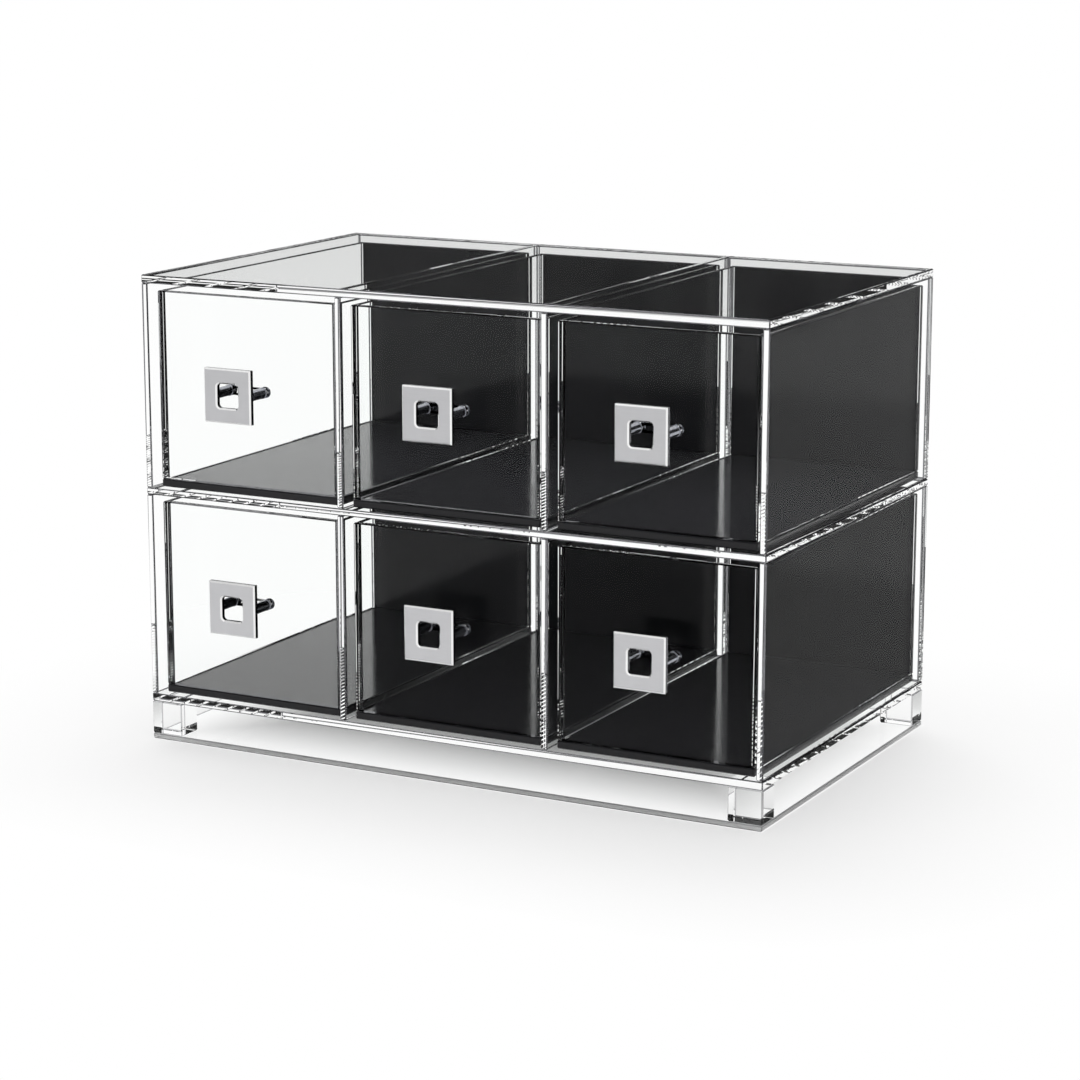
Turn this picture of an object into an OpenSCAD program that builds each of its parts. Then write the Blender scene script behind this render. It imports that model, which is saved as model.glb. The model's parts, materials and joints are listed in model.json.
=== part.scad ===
// Countertop bread display case: a clear sheet case on block feet that holds two rows
// of three clear drawers, each with a black floor and rear and a square metal pull.
// The origin is the centre of the base's underside. The drawers open towards -Y.

/* [Case] */
// Width of the case, left to right
case_w = 480; // [390:5:600]
// Depth of the case, front to back
case_d = 290; // [230:5:360]
// Clear height of each drawer bay
bay_h = 146; // [115:1:190]
// Thickness of the top and bottom panels
deck_t = 6; // [4:0.5:10]
// Thickness of the shelf between the two rows
shelf_t = 5; // [4:0.5:8]
// Thickness of the side panels and the dividers
wall_t = 5; // [4:0.5:8]
// Thickness of the clear panel behind each bay
back_t = 5; // [3:0.5:8]
// Cement line between two glued sheets
glue_gap = 0.1; // [0.05:0.05:0.2]

/* [Base] */
// Thickness of the clear plate under the feet
base_t = 4; // [3:0.5:8]
// Height of each block foot
foot_h = 24; // [12:1:40]
// Width of each foot, along the front
foot_w = 25; // [12:1:45]
// Depth of each foot, along the side
foot_d = 20; // [12:1:45]

/* [Drawers] */
// Space between a drawer and the panel on each side of it
side_gap = 4; // [0.5:0.5:8]
// Space above a drawer
top_gap = 5.5; // [1:0.5:10]
// Running clearance under a drawer
glide_gap = 0.3; // [0.1:0.1:0.6]
// Clearance between a shut drawer and the back panel
stop_gap = 0.3; // [0.1:0.1:0.8]
// Distance of a shut drawer behind the front of the case
recess = 6.5; // [0:0.5:15]
// Thickness of the black drawer floor
floor_t = 5.5; // [3:0.5:8]
// Thickness of the clear drawer front
front_t = 5; // [3:0.5:8]
// Thickness of the clear drawer sides and the black drawer rear
box_t = 4; // [3:0.5:8]

/* [Pulls] */
// Side of the square pull plate
plate_w = 38; // [34:1:60]
// Thickness of the pull plate
plate_t = 4; // [3:0.5:6]
// Width of the plate's rim, from its edge to the square window
rim_w = 10.5; // [9:0.5:13]
// Corner radius of the window
window_r = 2.5; // [0.5:0.5:3.5]
// Height of the pull's centre above the underside of the drawer
pull_z = 74; // [40:1:90]
// Diameter of the two posts that carry the plate
post_d = 8; // [6:0.5:8]
// Length of the posts, from the drawer front to the plate
post_l = 20; // [14:1:40]

/* [Fixings] */
// Outside diameter of the screws
screw_d = 4; // [3:0.5:4]
// Diameter of the screw heads
head_d = 8; // [6:0.5:9]
// Thickness of the screw heads
head_t = 2.5; // [1.5:0.5:3]
// Depth to which a screw enters its post
screw_grip = 8; // [4:1:12]
// Depth of a post's hole past the end of its screw
screw_spare = 3; // [1:1:4]
// Clearance of the posts and screw heads from the drawer front
seat_gap = 0.1; // [0.05:0.05:0.3]
// Radial clearance of a screw in its post
thread_gap = 0.05; // [0.02:0.01:0.1]
// Radial clearance of a screw in the drawer front
hole_gap = 0.3; // [0.2:0.05:0.5]

/* [Hidden] */
$fn = 64;
COLUMNS = ["left", "middle", "right"];
LEVELS = ["lower", "upper"];
SIDES = [-1, 1];
clear = [0.84, 0.91, 0.94, 0.35];
black = [0.09, 0.09, 0.10];
satin = [0.72, 0.72, 0.74];
bright = [0.45, 0.45, 0.48];

column_n = len(COLUMNS);
bay_w = (case_w - (column_n + 1) * wall_t) / column_n;
case_x = case_w / 2;
case_y = case_d / 2;
bottom_z = base_t + foot_h;
deck_z = bottom_z + deck_t;
level_h = bay_h + shelf_t;
top_z = deck_z + 2 * bay_h + shelf_t;

back_y = case_y - back_t;
box_w = bay_w - 2 * side_gap;
box_front = recess - case_y;
box_d = back_y - stop_gap - box_front;
box_h = bay_h - glide_gap - top_gap;
wall_z = floor_t + glue_gap;
window_w = plate_w - 2 * rim_w;
post_pitch = plate_w - rim_w;
head_y = front_t + seat_gap;
cut_past = 1;

BAYS = [for (level = [0 : 1], column = [0 : column_n - 1]) [column, level]];
LEVEL_ENDS = [for (level = [0 : 1], side = [0 : 1]) [side, level]];
DIVIDER_PLACES = [for (level = [0 : 1], gap = [0 : column_n - 2]) [gap, level]];
DRAWER_PIECES = [
    "floor", "front", "side_walls", "rear_wall", "pull_plate", "pull_posts", "pull_screws"
];

function span(start, length, inset = 0) = [start + inset, start + length - inset];
function bay_name(bay) = str(LEVELS[bay[1]], "_", COLUMNS[bay[0]]);
function bay_x(column) = wall_t + column * (bay_w + wall_t) - case_x;
function bay_z(level) = deck_z + level * level_h;
function side_node(end) = str(LEVELS[end[1]], "_side_panel_", ["left", "right"][end[0]]);
function divider_node(place) = str(LEVELS[place[1]], "_divider_", ["left", "right"][place[0]]);
function back_node(level) = str(LEVELS[level], "_back_panels");
function drawer_node(bay, piece) = str(bay_name(bay), "_drawer_", piece);

// A box between two corners, given as a [low, high] pair for each axis
module slab(x, y, z) {
    translate([x[0], y[0], z[0]]) cube([x[1] - x[0], y[1] - y[0], z[1] - z[0]]);
}

// A panel as large as the case, with its underside at the height z
module full_panel(z, t) {
    slab(span(-case_x, case_w), span(-case_y, case_d), span(z, t));
}

// A square with round corners, centred on the origin
module round_square(w, r) {
    square([w, w - 2 * r], center = true);
    square([w - 2 * r, w], center = true);
    for (x = SIDES, y = SIDES) translate([x, y] * (w / 2 - r)) circle(r);
}

// Puts its children at the front centre of a shut drawer's underside
module at_drawer(bay) {
    translate([bay_x(bay[0]) + bay_w / 2, box_front, bay_z(bay[1]) + glide_gap]) children();
}

// A cylinder from the plane y = from to the plane y = to, on a post's axis
module post_rod(side, from, to, d) {
    translate([side * post_pitch / 2, from, pull_z])
        rotate([-90, 0, 0]) cylinder(h = to - from, d = d);
}

module base_plate() {
    color(clear) full_panel(0, base_t);
}

// Four clear blocks, flush with the corners of the case
module feet() {
    color(clear) for (x = SIDES, y = SIDES)
        translate([x * (case_x - foot_w / 2), y * (case_y - foot_d / 2), bottom_z - foot_h / 2])
            cube([foot_w, foot_d, foot_h - 2 * glue_gap], center = true);
}

module bottom_panel() {
    color(clear) full_panel(bottom_z, deck_t);
}

module shelf() {
    color(clear) full_panel(deck_z + bay_h, shelf_t);
}

module top_panel() {
    color(clear) full_panel(top_z, deck_t);
}

// A full-depth upright sheet whose left face is at x, in one row of bays
module upright(x, level) {
    color(clear)
        slab(span(x, wall_t), span(-case_y, case_d), span(bay_z(level), bay_h, glue_gap));
}

module side_panel(end) {
    upright([-case_x, case_x - wall_t][end[0]], end[1]);
}

module divider(place) {
    upright(bay_x(place[0]) + bay_w, place[1]);
}

// One clear sheet behind each bay of a row, between the uprights
module back_panels(level) {
    color(clear) for (column = [0 : column_n - 1])
        slab(
            span(bay_x(column), bay_w, glue_gap),
            span(back_y, back_t),
            span(bay_z(level), bay_h, glue_gap)
        );
}

module drawer_floor() {
    color(black) slab(span(-box_w / 2, box_w), span(0, box_d), span(0, floor_t));
}

// The clear front stands on the floor and has two holes for the pull's screws
module drawer_front() {
    color(clear) difference() {
        slab(span(-box_w / 2, box_w), span(0, front_t), [wall_z, box_h]);
        for (side = SIDES)
            post_rod(side, -cut_past, front_t + cut_past, screw_d + 2 * hole_gap);
    }
}

module drawer_side_walls() {
    color(clear) for (x = [-box_w / 2, box_w / 2 - box_t])
        slab(span(x, box_t), span(front_t, box_d - front_t - box_t, glue_gap), [wall_z, box_h]);
}

module drawer_rear_wall() {
    color(black) slab(span(-box_w / 2, box_w), span(box_d - box_t, box_t), [wall_z, box_h]);
}

// A square plate with a square window. Its two posts stand on the middle of its rim
module pull_plate() {
    color(satin) translate([0, -post_l, pull_z]) rotate([90, 0, 0]) linear_extrude(plate_t)
        difference() {
            square(plate_w, center = true);
            round_square(window_w, window_r);
        }
}

module pull_posts() {
    color(bright) for (side = SIDES) difference() {
        post_rod(side, -post_l, -seat_gap, post_d);
        post_rod(side, -screw_grip - screw_spare, cut_past, screw_d + 2 * thread_gap);
    }
}

// Two screws that pass through the drawer front into the posts
module pull_screws() {
    color(bright) for (side = SIDES) {
        post_rod(side, -screw_grip, head_y + head_t / 2, screw_d);
        post_rod(side, head_y, head_y + head_t, head_d);
    }
}

module drawer_piece(bay, piece) {
    at_drawer(bay) {
        if (piece == "floor") drawer_floor();
        if (piece == "front") drawer_front();
        if (piece == "side_walls") drawer_side_walls();
        if (piece == "rear_wall") drawer_rear_wall();
        if (piece == "pull_plate") pull_plate();
        if (piece == "pull_posts") pull_posts();
        if (piece == "pull_screws") pull_screws();
    }
}

base_plate();
feet();
bottom_panel();
shelf();
top_panel();
for (end = LEVEL_ENDS)
    side_panel(end);
for (place = DIVIDER_PLACES)
    divider(place);
for (level = [0 : 1])
    back_panels(level);
for (bay = BAYS, piece = DRAWER_PIECES)
    drawer_piece(bay, piece);
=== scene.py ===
"""Looks, light and camera for the countertop bread display case, in metres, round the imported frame."""
import json
import math

import bmesh
import bpy
from mathutils import Euler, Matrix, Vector

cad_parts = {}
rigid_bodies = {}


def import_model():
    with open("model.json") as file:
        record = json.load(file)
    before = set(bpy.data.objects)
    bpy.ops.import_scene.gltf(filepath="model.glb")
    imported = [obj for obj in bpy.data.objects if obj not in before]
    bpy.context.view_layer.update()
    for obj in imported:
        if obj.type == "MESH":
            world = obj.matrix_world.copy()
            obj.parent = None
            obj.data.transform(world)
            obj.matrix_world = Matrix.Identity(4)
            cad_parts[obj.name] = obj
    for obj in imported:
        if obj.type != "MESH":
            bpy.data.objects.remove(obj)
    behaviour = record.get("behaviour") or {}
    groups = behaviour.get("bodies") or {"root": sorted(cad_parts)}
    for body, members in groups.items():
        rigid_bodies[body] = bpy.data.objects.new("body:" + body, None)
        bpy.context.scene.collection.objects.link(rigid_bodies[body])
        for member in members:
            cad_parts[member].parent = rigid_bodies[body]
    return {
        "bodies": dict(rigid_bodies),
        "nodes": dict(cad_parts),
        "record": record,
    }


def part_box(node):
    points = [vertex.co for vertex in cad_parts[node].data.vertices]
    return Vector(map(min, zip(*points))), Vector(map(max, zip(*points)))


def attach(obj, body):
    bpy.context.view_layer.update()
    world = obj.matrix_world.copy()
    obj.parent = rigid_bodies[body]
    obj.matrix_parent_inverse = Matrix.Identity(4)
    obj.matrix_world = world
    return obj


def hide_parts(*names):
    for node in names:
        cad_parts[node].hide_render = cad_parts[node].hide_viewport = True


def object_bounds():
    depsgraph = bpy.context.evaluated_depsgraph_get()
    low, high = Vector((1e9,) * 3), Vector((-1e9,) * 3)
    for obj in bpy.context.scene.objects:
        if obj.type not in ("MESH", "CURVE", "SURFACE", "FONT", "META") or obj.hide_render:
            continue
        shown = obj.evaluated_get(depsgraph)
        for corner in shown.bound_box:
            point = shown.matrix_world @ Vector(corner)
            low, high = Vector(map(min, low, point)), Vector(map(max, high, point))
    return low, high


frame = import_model()
cad_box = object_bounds()
nodes = frame["nodes"]
scene = bpy.context.scene

# Camera, found from the corners of the case in the photograph
CAMERA_AT = (1.0016, -1.8992, 0.6104)
CAMERA_YAW = math.radians(27.81)
CAMERA_PITCH = math.radians(12.28)
FOCAL_PX = 3054.9
PHOTO_PX = 1080
SENSOR = 36.0
CLIP_START = 0.05
CLIP_END = 100

# Clear sheet
ACRYLIC_IOR = 1.49
SHEET_TINT = (0.998, 1.0, 0.999)
# The chamfer colours below are painted shade: they darken the light through the chamfers into dark
# outlines along the clear edges.
CHAMFER_PAINTED_SHADE = (0.2, 0.2, 0.21)
FOOT_CHAMFER_PAINTED_SHADE = (0.6, 0.6, 0.61)
LAMP_TINT = (0.97, 0.97, 0.97)
BASE_BLUR = 0.5
MIRROR_SHARE = 0.06
# The top panel's own mirror colour paints a dark reflection on its face.
TOP_MIRROR_SHARE = 0.3
TOP_PAINTED_DARK_MIRROR_TONE = 0.03
FULL_MIRROR_FROM = 0.97
FULL_MIRROR_AT = 0.999
HAZE = 0.05
HAZE_SCALE = 45
HAZE_LEVELS = (0.5, 0.75)
RIPPLE_SCALE = 16
RIPPLE_STRENGTH = 0.12
RIPPLE_HEIGHT = 0.0006
CHAMFER = 0.0008
WELD_REACH = 0.00001

# Black sheet
BLACK_LOW = (0.015, 0.015, 0.017)
BLACK_HIGH = (0.022, 0.022, 0.024)
BLACK_TONE_SCALE = 12
BLACK_SPECULAR = 0.2
BLACK_SMOOTH = 0.07
BLACK_ROUGH = 0.16
BLACK_ROUGH_SCALE = 60
BLACK_ROUGH_LEVELS = (0.35, 0.7)

# Steel, each as its colour, roughness and depth of grain
SATIN = ((0.61, 0.61, 0.625), 0.34, 0.2)
POLISHED = ((0.36, 0.37, 0.41), 0.14, 0.04)
# The plate sides' dark colour is a painted dark reflection.
SIDES_PAINTED_DARK = ((0.10, 0.10, 0.11), 0.12, 0.02)
# The cut edges are polished, and their near-white colour is a painted highlight.
CUT_PAINTED_HIGHLIGHT = ((0.95, 0.95, 0.95), 0.22, 0.02)
GRAIN_SCALE = 900
GRAIN_STRETCH = (0.06, 1, 1)
GRAIN_LEVELS = (0.3, 0.7)
GRAIN_HEIGHT = 0.0001
PATCH_SCALE = 70
TONE_LOW = 0.85
TONE_HIGH = 1.08
ROUGH_LOW = 0.85
ROUGH_HIGH = 1.15

# Pulls
PLATE_CHAMFER = 0.001
CORNER_R = 0.0004
WINDOW_R = 0.0025
RIM_W = 0.0105
POST_D = 0.008
COLLAR = 0.0012
COLLAR_STEP = 0.0003
BORE_D = 0.0041
BORE_DEPTH = 0.011
SCREW_D = 0.004
SCREW_CORE_D = 0.0032
THREAD_PITCH = 0.0007
CREST_FROM = 0.4
CREST_TO = 0.6
HEAD_D = 0.008
HEAD_T = 0.0025
HEAD_RIM = 0.0006
HEAD_ARC = 60
HEAD_ARC_STEP = 10
SOCKET_W = 0.0025
SOCKET_DEPTH = 0.0014
ROUND_STEPS = 48

# Studio
FLOOR_R = 40
FLOOR_Z = -0.0003
FLOOR_STEPS = 128
FLOOR_TONE = 0.93
FLOOR_ROUGH = 0.9
# The floor's white share paints the case's shadow: low at its edge, fading out over the reach, and lowest
# deep under it.
SHADOW_REACH = 0.22
EDGE_WHITE = 0.55
RIM_WHITE = 0.95
DEEP_WHITE = 0.2
UNDER_REACH = 0.1
FILL_LEVEL = 0.68
FLAG_TONE = 0.02
FLAG_CORNER_FROM = 0.1
FLAG_CORNER_AT = 0.2
FLAG_TOP = 0.03
LAMP_AIM = (0, 0, 0.15)
BOUNCES = 96
CLEAR_BOUNCES = 64


def link(obj):
    scene.collection.objects.link(obj)
    return obj


# Node trees

def new_material(name):
    mat = bpy.data.materials.new(name)
    mat.use_nodes = True
    return mat


def add(tree, kind, operation=None, **values):
    """A node with its plain inputs set by name, where _ stands for a space."""
    node = tree.nodes.new(kind)
    if operation:
        node.operation = operation
    for name, value in values.items():
        node.inputs[name.replace("_", " ")].default_value = value
    return node


def maths(tree, operation, a, b):
    node = add(tree, "ShaderNodeMath", operation)
    for socket, value in zip(node.inputs, (a, b)):
        if isinstance(value, (int, float)):
            socket.default_value = value
        else:
            tree.links.new(value, socket)
    return node.outputs[0]


def remap(tree, value, low, high, to_low, to_high):
    node = add(tree, "ShaderNodeMapRange", From_Min=low, From_Max=high, To_Min=to_low, To_Max=to_high)
    tree.links.new(value, node.inputs["Value"])
    return node.outputs["Result"]


def noise(tree, scale, detail, stretch=(1, 1, 1)):
    """Noise in the part's own metres, drawn out by the stretch."""
    coordinates = add(tree, "ShaderNodeTexCoord")
    mapping = add(tree, "ShaderNodeMapping")
    mapping.inputs["Scale"].default_value = stretch
    texture = add(tree, "ShaderNodeTexNoise", Scale=scale, Detail=detail)
    tree.links.new(coordinates.outputs["Object"], mapping.inputs["Vector"])
    tree.links.new(mapping.outputs["Vector"], texture.inputs["Vector"])
    return texture.outputs["Fac"]


def bump(tree, height, strength, distance):
    node = add(tree, "ShaderNodeBump", Strength=strength, Distance=distance)
    tree.links.new(height, node.inputs["Height"])
    return node.outputs["Normal"]


def blend_colours(tree, share, first, second):
    """A colour mix, whose colours are inputs 6 and 7 and whose result is output 2."""
    node = add(tree, "ShaderNodeMix")
    node.data_type = "RGBA"
    node.inputs[6].default_value = (*first, 1)
    node.inputs[7].default_value = (*second, 1)
    tree.links.new(share, node.inputs[0])
    return node.outputs[2]


def mix_shaders(tree, share, first, second):
    node = add(tree, "ShaderNodeMixShader")
    tree.links.new(share, node.inputs[0])
    tree.links.new(first.outputs[0], node.inputs[1])
    tree.links.new(second.outputs[0], node.inputs[2])
    return node


def show(tree, shader):
    tree.links.new(shader.outputs[0], tree.nodes["Material Output"].inputs["Surface"])


# Finishes

def clear_sheet(name, tint_and_painted_shade, mirror_share=MIRROR_SHARE, mirror_and_painted_dark_tone=1.0, blur=0.0):
    """Polished clear acrylic, with faint ripples and patches of haze in the gloss of its faces.
    It bends light, mirrors it weakly outside and fully inside, and lets lamps through."""
    mat = new_material(name)
    tree = mat.node_tree
    tree.nodes.remove(tree.nodes["Principled BSDF"])
    fresnel = add(tree, "ShaderNodeFresnel", IOR=ACRYLIC_IOR).outputs[0]
    outside = maths(tree, "MULTIPLY", fresnel, mirror_share)
    inside = remap(tree, fresnel, FULL_MIRROR_FROM, FULL_MIRROR_AT, 0.0, 1.0)
    # A dark colour here paints shade into the light that the sheet lets through.
    bend = add(tree, "ShaderNodeBsdfRefraction", Color=(*tint_and_painted_shade, 1), IOR=ACRYLIC_IOR, Roughness=0.0)
    # A mirror colour below 1 here paints a dark reflection.
    weak = add(tree, "ShaderNodeBsdfGlossy", Color=(mirror_and_painted_dark_tone, mirror_and_painted_dark_tone, mirror_and_painted_dark_tone, 1))
    haze = remap(tree, noise(tree, HAZE_SCALE, 4), *HAZE_LEVELS, 0.0, HAZE)
    tree.links.new(haze, weak.inputs["Roughness"])
    ripple = bump(tree, noise(tree, RIPPLE_SCALE, 1), RIPPLE_STRENGTH, RIPPLE_HEIGHT)
    tree.links.new(ripple, weak.inputs["Normal"])
    full = add(tree, "ShaderNodeBsdfGlossy", Color=(1, 1, 1, 1), Roughness=blur)
    glass = mix_shaders(tree, inside, mix_shaders(tree, outside, bend, weak), full)
    lamp = add(tree, "ShaderNodeBsdfTransparent", Color=(*LAMP_TINT, 1))
    path = add(tree, "ShaderNodeLightPath")
    show(tree, mix_shaders(tree, path.outputs["Is Shadow Ray"], glass, lamp))
    return mat


def black_sheet():
    """Polished black acrylic, whose tone and gloss vary faintly over its face."""
    mat = new_material("black_acrylic")
    tree = mat.node_tree
    shader = tree.nodes["Principled BSDF"]
    shader.inputs["Specular IOR Level"].default_value = BLACK_SPECULAR
    tone = blend_colours(tree, noise(tree, BLACK_TONE_SCALE, 2), BLACK_LOW, BLACK_HIGH)
    tree.links.new(tone, shader.inputs["Base Color"])
    spots = noise(tree, BLACK_ROUGH_SCALE, 5)
    rough = remap(tree, spots, *BLACK_ROUGH_LEVELS, BLACK_SMOOTH, BLACK_ROUGH)
    tree.links.new(rough, shader.inputs["Roughness"])
    return mat


def steel(name, colour, rough, grain_depth):
    """Steel whose tone, roughness and grain vary along its brushing, and whose tone varies in patches."""
    mat = new_material(name)
    tree = mat.node_tree
    shader = tree.nodes["Principled BSDF"]
    shader.inputs["Metallic"].default_value = 1.0
    grain = noise(tree, GRAIN_SCALE, 4, GRAIN_STRETCH)
    patches = maths(tree, "MULTIPLY", maths(tree, "ADD", grain, noise(tree, PATCH_SCALE, 2)), 0.5)
    darker = [c * TONE_LOW for c in colour]
    lighter = [min(1, c * TONE_HIGH) for c in colour]
    tree.links.new(blend_colours(tree, patches, darker, lighter), shader.inputs["Base Color"])
    varied = remap(tree, grain, *GRAIN_LEVELS, rough * ROUGH_LOW, rough * ROUGH_HIGH)
    tree.links.new(varied, shader.inputs["Roughness"])
    tree.links.new(bump(tree, grain, grain_depth, GRAIN_HEIGHT), shader.inputs["Normal"])
    return mat


# Meshes

def new_piece(name, bm, materials, at):
    mesh = bpy.data.meshes.new(name)
    bmesh.ops.recalc_face_normals(bm, faces=bm.faces)
    bm.to_mesh(mesh)
    bm.free()
    for mat in materials:
        mesh.materials.append(mat)
    piece = link(bpy.data.objects.new(name, mesh))
    piece.location = at
    return piece


def round_square(width, radius, steps=6):
    """Points of a square with round corners, as many for every width and radius."""
    points = []
    for corner in range(4):
        cos, sin = math.cos(corner * math.pi / 2), math.sin(corner * math.pi / 2)
        for step in range(steps + 1):
            angle = step / steps * math.pi / 2
            x = width / 2 - radius + radius * math.cos(angle)
            z = width / 2 - radius + radius * math.sin(angle)
            points.append((x * cos - z * sin, x * sin + z * cos))
    return points


def bridge(bm, loops, finishes=None, closed=False):
    """Quads between each loop of points and the next, with a finish for each strip."""
    rows = [[bm.verts.new(p) for p in loop] for loop in loops]
    if closed:
        rows.append(rows[0])
    finishes = finishes or [0] * (len(rows) - 1)
    for low, high, finish in zip(rows, rows[1:], finishes):
        for i in range(len(low)):
            j = (i + 1) % len(low)
            bm.faces.new((low[i], low[j], high[j], high[i])).material_index = finish
    if not closed:
        bm.faces.new(rows[0])
        bm.faces.new(rows[-1])


def pull_plate(name, width, thickness, finishes, at):
    """A square plate with a window. Its finishes are those of its faces, its sides and its cut edges."""
    face, side, cut_edge = range(3)
    window = width - 2 * RIM_W
    cut = PLATE_CHAMFER
    outer, inner = round_square(width, CORNER_R), round_square(window, WINDOW_R)
    outer_face = round_square(width - 2 * cut, CORNER_R)
    inner_face = round_square(window + 2 * cut, WINDOW_R + cut)
    places = [
        (outer, thickness), (outer, cut), (outer_face, 0),
        (inner_face, 0), (inner, cut), (inner, thickness),
    ]
    loops = [[(x, y, z) for x, z in outline] for outline, y in places]
    bm = bmesh.new()
    bridge(bm, loops, (side, cut_edge, face, cut_edge, side, face), closed=True)
    return new_piece(name, bm, finishes, at)


def circle(radius, y, centre_x):
    angles = [2 * math.pi * i / ROUND_STEPS for i in range(ROUND_STEPS)]
    return [(centre_x + radius * math.cos(a), y, radius * math.sin(a)) for a in angles]


def hexagon(width, y, centre_x):
    """A hexagon of the width across its flats, with as many points as a circle."""
    points = []
    for i in range(ROUND_STEPS):
        angle = 2 * math.pi * i / ROUND_STEPS
        radius = width / 2 / math.cos(angle % (math.pi / 3) - math.pi / 6)
        points.append((centre_x + radius * math.cos(angle), y, radius * math.sin(angle)))
    return points


def post_pair(name, pitch, length, finish, at):
    """Two turned posts with a collar at each end and a tapped hole for the screw."""
    rim, waist, bore = POST_D / 2, POST_D / 2 - COLLAR_STEP, BORE_D / 2
    profile = [
        (rim, 0), (rim, COLLAR), (waist, COLLAR + COLLAR_STEP), (waist, length - COLLAR - COLLAR_STEP),
        (rim, length - COLLAR), (rim, length - COLLAR_STEP), (rim - COLLAR_STEP, length),
        (bore, length), (bore, length - BORE_DEPTH),
    ]
    bm = bmesh.new()
    for x in (-pitch / 2, pitch / 2):
        bridge(bm, [circle(radius, y, x) for radius, y in profile])
    return new_piece(name, bm, [finish], at)


def screw_pair(name, pitch, shank, finish, at):
    """Two button-head screws. Their heads start at y = 0 and their threads run forward."""
    crest, root = SCREW_D / 2, SCREW_CORE_D / 2
    profile = [(root - COLLAR_STEP, -shank), (root, COLLAR_STEP - shank)]
    for turn in range(1, int(shank / THREAD_PITCH)):
        start = turn * THREAD_PITCH - shank
        profile.append((root, start))
        profile.append((crest, start + CREST_FROM * THREAD_PITCH))
        profile.append((crest, start + CREST_TO * THREAD_PITCH))
    profile += [(root, 0), (HEAD_D / 2, 0)]
    for degrees in range(0, HEAD_ARC + 1, HEAD_ARC_STEP):
        angle = math.radians(degrees)
        rise = (HEAD_T - HEAD_RIM) * math.sin(angle) / math.sin(math.radians(HEAD_ARC))
        profile.append((HEAD_D / 2 * math.cos(angle), HEAD_RIM + rise))
    bm = bmesh.new()
    for x in (-pitch / 2, pitch / 2):
        socket = [hexagon(SOCKET_W, HEAD_T, x), hexagon(SOCKET_W, HEAD_T - SOCKET_DEPTH, x)]
        bridge(bm, [circle(radius, y, x) for radius, y in profile] + socket)
    return new_piece(name, bm, [finish], at)


# Stage

def make_camera():
    data = bpy.data.cameras.new("camera")
    data.sensor_width = SENSOR
    data.lens = FOCAL_PX / PHOTO_PX * SENSOR
    data.clip_start, data.clip_end = CLIP_START, CLIP_END
    camera = link(bpy.data.objects.new("camera", data))
    camera.location = CAMERA_AT
    camera.rotation_euler = Euler((math.pi / 2 - CAMERA_PITCH, 0, CAMERA_YAW))
    scene.camera = camera


def seen_ray(tree):
    """1 for rays by which the background is seen, directly or in metal and glass."""
    path = add(tree, "ShaderNodeLightPath").outputs
    mirrored = maths(tree, "MAXIMUM", path["Is Glossy Ray"], path["Is Transmission Ray"])
    return maths(tree, "MAXIMUM", path["Is Camera Ray"], mirrored)


def floor_white_and_painted_shadow(tree):
    """The share of plain white in the floor, which paints a shadow over the real one. It grows away from
    the case and falls deep under it.
    """
    rim = cad_box[1]
    place = add(tree, "ShaderNodeVectorMath", "ABSOLUTE")
    tree.links.new(add(tree, "ShaderNodeNewGeometry").outputs["Position"], place.inputs[0])
    beyond = add(tree, "ShaderNodeVectorMath", "SUBTRACT")
    tree.links.new(place.outputs[0], beyond.inputs[0])
    beyond.inputs[1].default_value = (rim.x, rim.y, 0)
    outside = add(tree, "ShaderNodeVectorMath", "MAXIMUM")
    tree.links.new(beyond.outputs[0], outside.inputs[0])
    distance = add(tree, "ShaderNodeVectorMath", "LENGTH")
    tree.links.new(outside.outputs[0], distance.inputs[0])
    away = remap(tree, distance.outputs["Value"], 0, SHADOW_REACH, EDGE_WHITE, 1)
    parts = add(tree, "ShaderNodeSeparateXYZ")
    tree.links.new(beyond.outputs[0], parts.inputs[0])
    depth = maths(tree, "MAXIMUM", parts.outputs["X"], parts.outputs["Y"])
    under = remap(tree, depth, -UNDER_REACH, 0, DEEP_WHITE - EDGE_WHITE, RIM_WHITE - EDGE_WHITE)
    inside = maths(tree, "LESS_THAN", depth, 0)
    return maths(tree, "ADD", away, maths(tree, "MULTIPLY", inside, under))


def make_floor():
    """A pale floor that shows white, on which the case's real shadow shows softly, with painted shadow
    near the case and deep under it.
    """
    bpy.ops.mesh.primitive_circle_add(vertices=FLOOR_STEPS, radius=FLOOR_R, fill_type="NGON")
    floor = bpy.context.object
    floor.name = "floor"
    floor.location.z = FLOOR_Z
    mat = new_material("floor")
    tree = mat.node_tree
    shader = tree.nodes["Principled BSDF"]
    shader.inputs["Base Color"].default_value = (FLOOR_TONE, FLOOR_TONE, FLOOR_TONE, 1)
    shader.inputs["Roughness"].default_value = FLOOR_ROUGH
    shader.inputs["Specular IOR Level"].default_value = 0.0
    white = add(tree, "ShaderNodeEmission", Color=(1, 1, 1, 1), Strength=1.0)
    share = maths(tree, "MULTIPLY", seen_ray(tree), floor_white_and_painted_shadow(tree))
    show(tree, mix_shaders(tree, share, shader, white))
    floor.data.materials.append(mat)


def flag_share(tree):
    """1 where a mirrored ray looks up at one of two dark flags, at the right back and the left front."""
    parts = add(tree, "ShaderNodeSeparateXYZ")
    tree.links.new(add(tree, "ShaderNodeTexCoord").outputs["Generated"], parts.inputs[0])
    sides = maths(tree, "MULTIPLY", parts.outputs["X"], parts.outputs["Y"])
    corner = remap(tree, sides, FLAG_CORNER_FROM, FLAG_CORNER_AT, 0, 1)
    above = remap(tree, parts.outputs["Z"], 0.0, FLAG_TOP, 0, 1)
    mirrored = maths(tree, "GREATER_THAN", add(tree, "ShaderNodeLightPath").outputs["Glossy Depth"], 0.5)
    return maths(tree, "MULTIPLY", maths(tree, "MULTIPLY", corner, above), mirrored)


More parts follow.
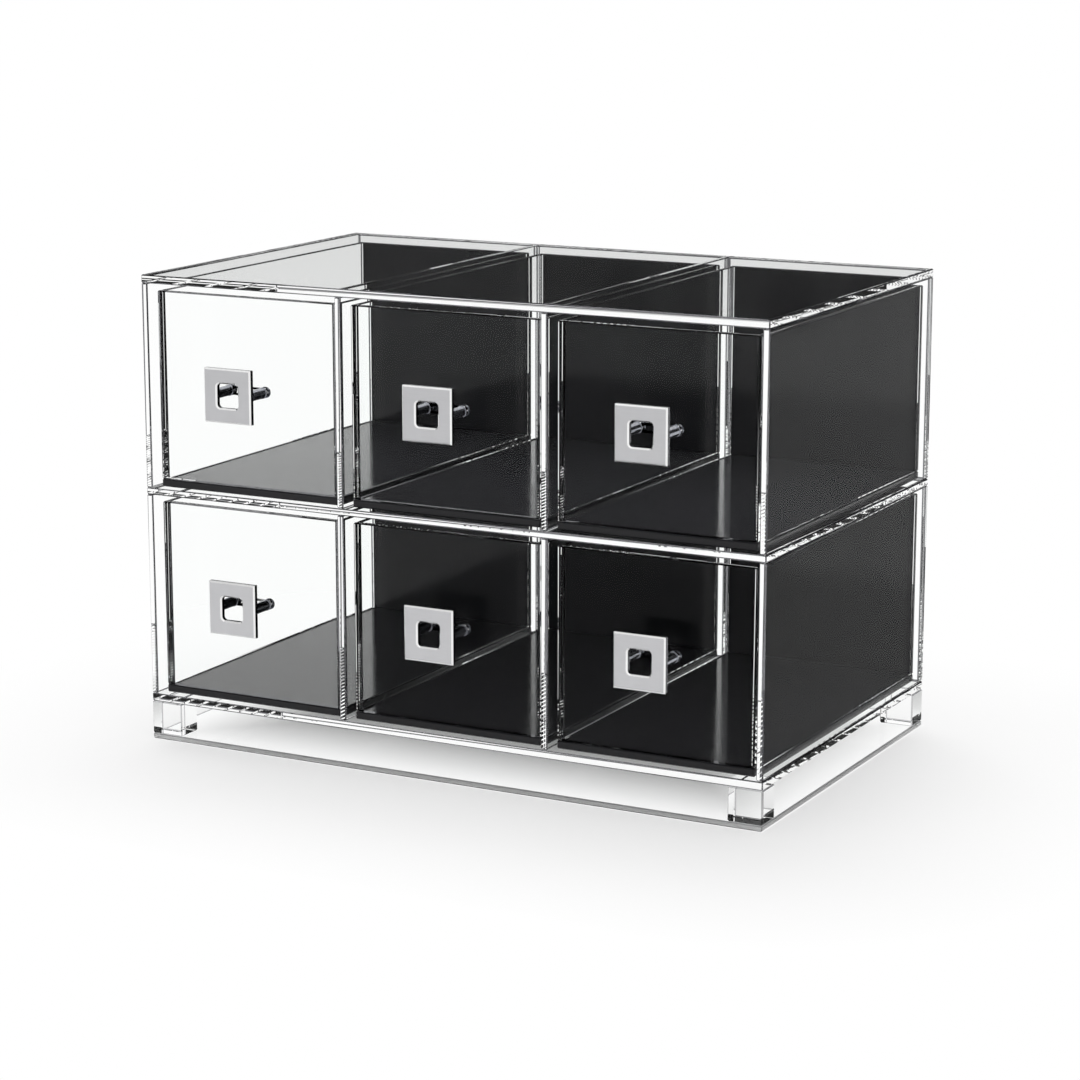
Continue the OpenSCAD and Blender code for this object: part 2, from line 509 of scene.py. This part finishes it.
def make_world():
    """A soft white studio with two dark flags, which draw the dark dashes in the clear edges."""
    world = bpy.data.worlds.new("studio")
    world.use_nodes = True
    tree = world.node_tree
    fill = tree.nodes["Background"]
    fill.inputs["Color"].default_value = (1, 1, 1, 1)
    fill.inputs["Strength"].default_value = FILL_LEVEL
    white = add(tree, "ShaderNodeBackground", Color=(1, 1, 1, 1), Strength=1.0)
    flag = add(tree, "ShaderNodeBackground", Color=(FLAG_TONE, FLAG_TONE, FLAG_TONE, 1), Strength=1.0)
    both = mix_shaders(tree, seen_ray(tree), fill, mix_shaders(tree, flag_share(tree), white, flag))
    tree.links.new(both.outputs[0], tree.nodes["World Output"].inputs["Surface"])
    scene.world = world


def soft_light(name, at, size, power):
    """A lamp that lights the case and is seen neither directly nor in it."""
    data = bpy.data.lights.new(name, "AREA")
    data.shape = "RECTANGLE"
    data.size, data.size_y = size
    data.energy = power
    lamp = link(bpy.data.objects.new(name, data))
    lamp.visible_camera = False
    lamp.visible_glossy = False
    lamp.visible_transmission = False
    lamp.location = at
    lamp.rotation_euler = (Vector(LAMP_AIM) - Vector(at)).to_track_quat("-Z", "Y").to_euler()


scene.cycles.max_bounces = BOUNCES
scene.cycles.transmission_bounces = BOUNCES
scene.cycles.glossy_bounces = BOUNCES
scene.cycles.transparent_max_bounces = CLEAR_BOUNCES
scene.view_settings.view_transform = "Standard"

make_camera()
make_floor()
make_world()
soft_light("back_light", at=(-0.45, 1.1, 1.5), size=(1.4, 1.0), power=18)
soft_light("left_fill", at=(-1.7, -1.4, 0.9), size=(1.0, 1.0), power=6)

# Finishes and chamfers of the sheets, which stay the CAD's own solids

clear = clear_sheet("clear_acrylic", SHEET_TINT)
# The top panel's copy of the clear acrylic paints a dark reflection on its face.
top_painted_dark = clear_sheet("clear_acrylic_top_painted_dark_reflection", SHEET_TINT, TOP_MIRROR_SHARE, TOP_PAINTED_DARK_MIRROR_TONE)
# The chamfer materials paint shade into the chamfers as dark outlines, lighter on the feet and base
# plate.
chamfer = clear_sheet("clear_acrylic_chamfer_painted_shade", CHAMFER_PAINTED_SHADE)
foot_chamfer = clear_sheet("clear_acrylic_foot_chamfer_painted_shade", FOOT_CHAMFER_PAINTED_SHADE)
base = clear_sheet("clear_acrylic_base", SHEET_TINT, blur=BASE_BLUR)
black = black_sheet()
satin = steel("satin_steel", *SATIN)
polished = steel("polished_steel", *POLISHED)
side_steel_painted_dark = steel("steel_sides_painted_dark", *SIDES_PAINTED_DARK)
cut_edge_painted_highlight = steel("cut_edge_painted_highlight", *CUT_PAINTED_HIGHLIGHT)

SHEETS = {"clear_acrylic": (clear, chamfer), "black_acrylic": (black, black)}
OWN_SHEETS = {
    "top_panel": (top_painted_dark, chamfer),
    "feet": (clear, foot_chamfer),
    "base_plate": (base, foot_chamfer),
}
for part in frame["record"]["subparts"]:
    if part["material_slot"] not in SHEETS:
        continue
    sheet = nodes[part["node"]]
    sheet.data.materials.clear()
    for mat in OWN_SHEETS.get(part["node"], SHEETS[part["material_slot"]]):
        sheet.data.materials.append(mat)
    weld = sheet.modifiers.new("weld", "WELD")
    weld.merge_threshold = WELD_REACH
    bevel = sheet.modifiers.new("chamfer", "BEVEL")
    bevel.width = CHAMFER
    bevel.segments = 1
    bevel.limit_method = "ANGLE"
    bevel.material = 1

# Each drawer's pull, in the places of the CAD's plate, posts and screws
for body in frame["bodies"]:
    if not body.endswith("_drawer"):
        continue
    low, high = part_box(body + "_pull_plate")
    middle = (low + high) / 2
    # The plate's sides are painted dark, as a dark reflection, and its cut edges painted bright, as a
    # highlight on their polish.
    finishes = (satin, side_steel_painted_dark, cut_edge_painted_highlight)
    plate_at = (middle.x, low.y, middle.z)
    plate = pull_plate(body + "_pull", high.x - low.x, high.y - low.y, finishes, plate_at)
    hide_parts(body + "_pull_plate")
    low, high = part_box(body + "_pull_posts")
    pitch = high.x - low.x - POST_D
    posts = post_pair(body + "_posts", pitch, high.y - low.y, polished, (middle.x, low.y, middle.z))
    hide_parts(body + "_pull_posts")
    low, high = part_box(body + "_pull_screws")
    head_y = high.y - HEAD_T
    screws = screw_pair(body + "_screws", pitch, head_y - low.y, polished, (middle.x, head_y, middle.z))
    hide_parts(body + "_pull_screws")
    for piece in (plate, posts, screws):
        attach(piece, body)
